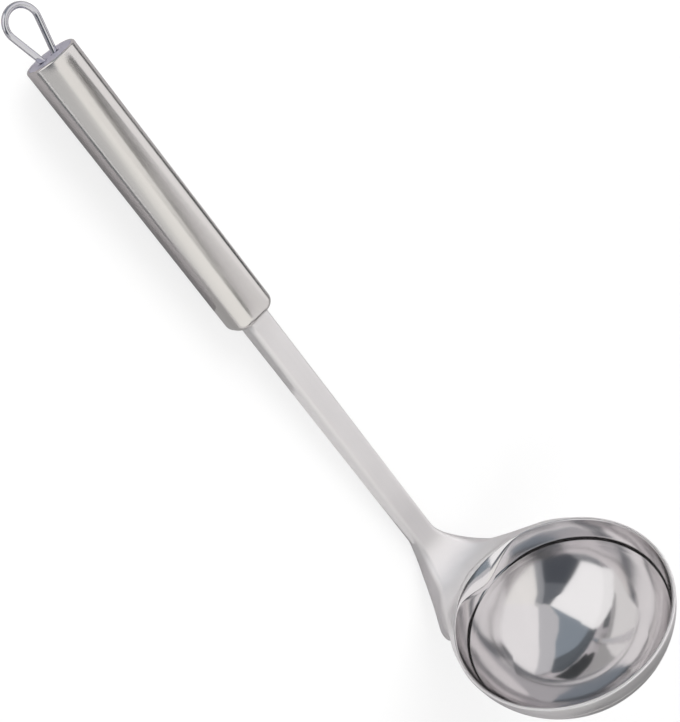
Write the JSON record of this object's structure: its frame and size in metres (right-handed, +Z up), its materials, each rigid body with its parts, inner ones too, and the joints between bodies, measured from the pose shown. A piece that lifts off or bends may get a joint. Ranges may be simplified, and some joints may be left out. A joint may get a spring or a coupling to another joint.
{
  "type": "soup ladle",
  "caption": "Stainless steel soup ladle with a round polished bowl, a channel shank and a hollow round handle with a hanging loop",
  "frame": {"origin": "On the floor, under the middle of the ladle's bounding box, with the ladle lying at rest on the bend of its neck and the front of its handle", "axes": "+X from the bowl to the hanging loop, +Z up, +Y to the left when looking along +X; the bowl opens towards +X"},
  "size_m": [0.3304, 0.088, 0.1104],
  "materials": {
    "pressed_steel": "satin",
    "handle_steel": "satin",
    "bush_steel": "satin",
    "wire_steel": "polished"
  },
  "bodies": {
    "root": {"bowl_and_shank": "pressed_steel", "handle_tube": "handle_steel", "tang_bush": "bush_steel", "end_cap": "handle_steel", "hanging_loop": "wire_steel"}
  },
  "joints": []
}
